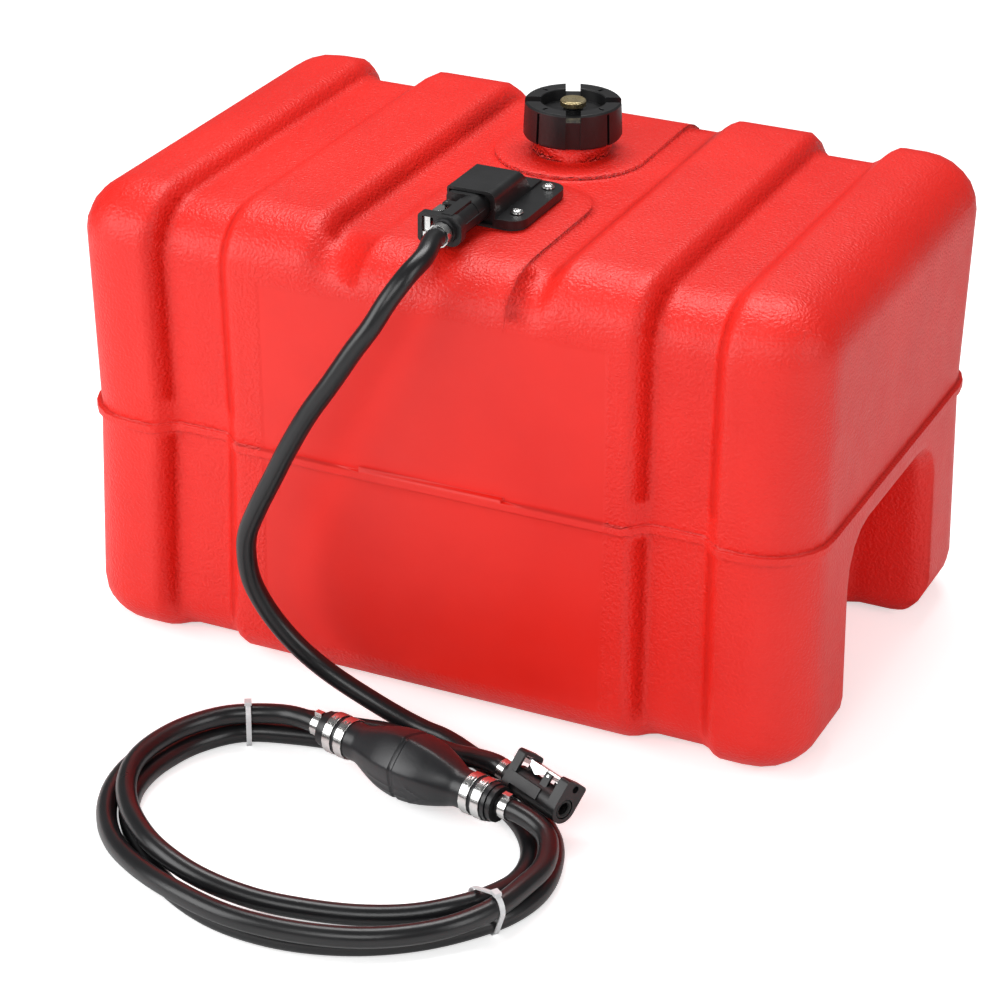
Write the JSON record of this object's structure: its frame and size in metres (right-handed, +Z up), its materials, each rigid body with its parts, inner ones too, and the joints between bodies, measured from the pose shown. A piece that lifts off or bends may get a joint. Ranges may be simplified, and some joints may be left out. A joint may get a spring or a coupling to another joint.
{
  "type": "portable fuel tank",
  "caption": "Portable moulded fuel tank with vented screw cap, fuel outlet and quick connectors, and a coiled hose with a primer bulb.",
  "frame": {"origin": "middle of the tank's underside, on the floor", "axes": "+X along the tank, +Y to its back (the fuel outlet and hose are towards -Y), +Z up"},
  "size_m": [0.5604, 0.6805, 0.3785],
  "materials": {
    "tank_plastic": "red moulded polyethylene, pebbled satin",
    "black_plastic": "satin black moulded nylon",
    "seal_rubber": "matt black fuel-proof rubber",
    "brass": "pale brass, turned and knurled",
    "natural_plastic": "natural white plastic",
    "hose_rubber": "satin black hose cover",
    "bulb_rubber": "ribbed satin black rubber",
    "tie_nylon": "translucent white nylon",
    "steel": "bright stainless steel"
  },
  "bodies": {
    "tank": {"tank_shell": "tank_plastic", "outlet_flange": "black_plastic", "flange_gasket": "seal_rubber", "flange_screw_1": "steel", "flange_screw_2": "steel", "flange_screw_3": "steel", "tank_nipple": "brass", "guide_pin": "steel", "pickup_tube": "natural_plastic", "pickup_strainer": "natural_plastic", "tank_connector": "black_plastic", "tank_latch_pin": "steel", "tank_seal": "seal_rubber", "tank_check_pin": "brass", "tank_check_spring": "steel", "tank_hose_clamp": "steel", "engine_connector": "black_plastic", "engine_latch_pin": "steel", "engine_seal": "seal_rubber", "engine_check_spring": "steel", "engine_hose_clamp": "steel", "primer_bulb": "bulb_rubber", "bulb_inlet_fitting": "black_plastic", "bulb_inlet_band_1": "steel", "bulb_inlet_band_2": "steel", "bulb_inlet_ear_clamp": "steel", "bulb_outlet_fitting": "black_plastic", "bulb_outlet_band_1": "steel", "bulb_outlet_band_2": "steel", "bulb_outlet_ear_clamp": "steel", "tank_hose": "hose_rubber", "tank_hose_coil": "hose_rubber", "engine_hose_coil": "hose_rubber", "engine_hose": "hose_rubber", "coil_tie_rear": "tie_nylon", "coil_tie_front": "tie_nylon"},
    "cap_seal_ring": {"cap_gasket": "seal_rubber"},
    "cap_liner_disc": {"cap_liner": "natural_plastic"},
    "cap_shell": {"filler_cap": "black_plastic"},
    "vent_washer": {"vent_seal": "seal_rubber"},
    "vent_knob": {"vent_screw": "brass"},
    "tank_latch_arm": {"tank_latch": "steel", "tank_latch_spring": "steel"},
    "engine_latch_arm": {"engine_latch": "steel", "engine_latch_spring": "steel"},
    "engine_check": {"engine_check_pin": "brass"},
    "inlet_valve": {"bulb_inlet_valve": "natural_plastic"},
    "outlet_valve": {"bulb_outlet_valve": "natural_plastic"}
  },
  "joints": [
    {"name": "cap_lift", "type": "slide", "parent": "tank", "child": "cap_seal_ring", "axis": [0, 0, 1], "range_m": [0, 0.1]},
    {"name": "cap_rise", "type": "slide", "parent": "cap_seal_ring", "child": "cap_liner_disc", "axis": [0, 0, 1], "range_m": [0, 0.0076]},
    {"name": "cap_turn", "type": "hinge", "parent": "cap_liner_disc", "child": "cap_shell", "pos_m": [0, 0.062, 0.3635], "axis": [0, 0, 1], "range_deg": [0, 540]},
    {"name": "vent_rise", "type": "slide", "parent": "cap_shell", "child": "vent_washer", "axis": [0, 0, 1], "range_m": [0, 0.002]},
    {"name": "vent_turn", "type": "hinge", "parent": "vent_washer", "child": "vent_knob", "pos_m": [0, 0.062, 0.374], "axis": [0, 0, 1], "range_deg": [0, 756]},
    {"name": "tank_latch_press", "type": "hinge", "parent": "tank", "child": "tank_latch_arm", "pos_m": [-0.0132, -0.1184, 0.3522], "axis": [0, 0, 1], "range_deg": [0, 4], "stiffness_Nm_per_rad": 3, "springref_deg": -1.15},
    {"name": "engine_latch_press", "type": "hinge", "parent": "tank", "child": "engine_latch_arm", "pos_m": [0.1449, -0.2813, 0.03737], "axis": [-0.2985, -0.7294, 0.6155], "range_deg": [0, 4], "stiffness_Nm_per_rad": 3, "springref_deg": -1.15},
    {"name": "engine_check_slide", "type": "slide", "parent": "tank", "child": "engine_check", "axis": [-0.9125, 0.4072, 0.04], "range_m": [0, 0.004], "stiffness_N_per_m": 300, "springref_m": -0.002},
    {"name": "inlet_valve_slide", "type": "slide", "parent": "tank", "child": "inlet_valve", "axis": [0.9708, -0.2399, 0], "range_m": [0, 0.0025], "stiffness_N_per_m": 30, "springref_m": -0.0005},
    {"name": "outlet_valve_slide", "type": "slide", "parent": "tank", "child": "outlet_valve", "axis": [0.9708, -0.2399, 0], "range_m": [0, 0.0025], "stiffness_N_per_m": 30, "springref_m": -0.0005}
  ],
  "couplings": [
    {"joint": "cap_rise", "follows": "cap_turn", "m_per_rad": 0.00079577},
    {"joint": "vent_turn", "follows": "vent_rise", "rad_per_m": 6283.2}
  ]
}
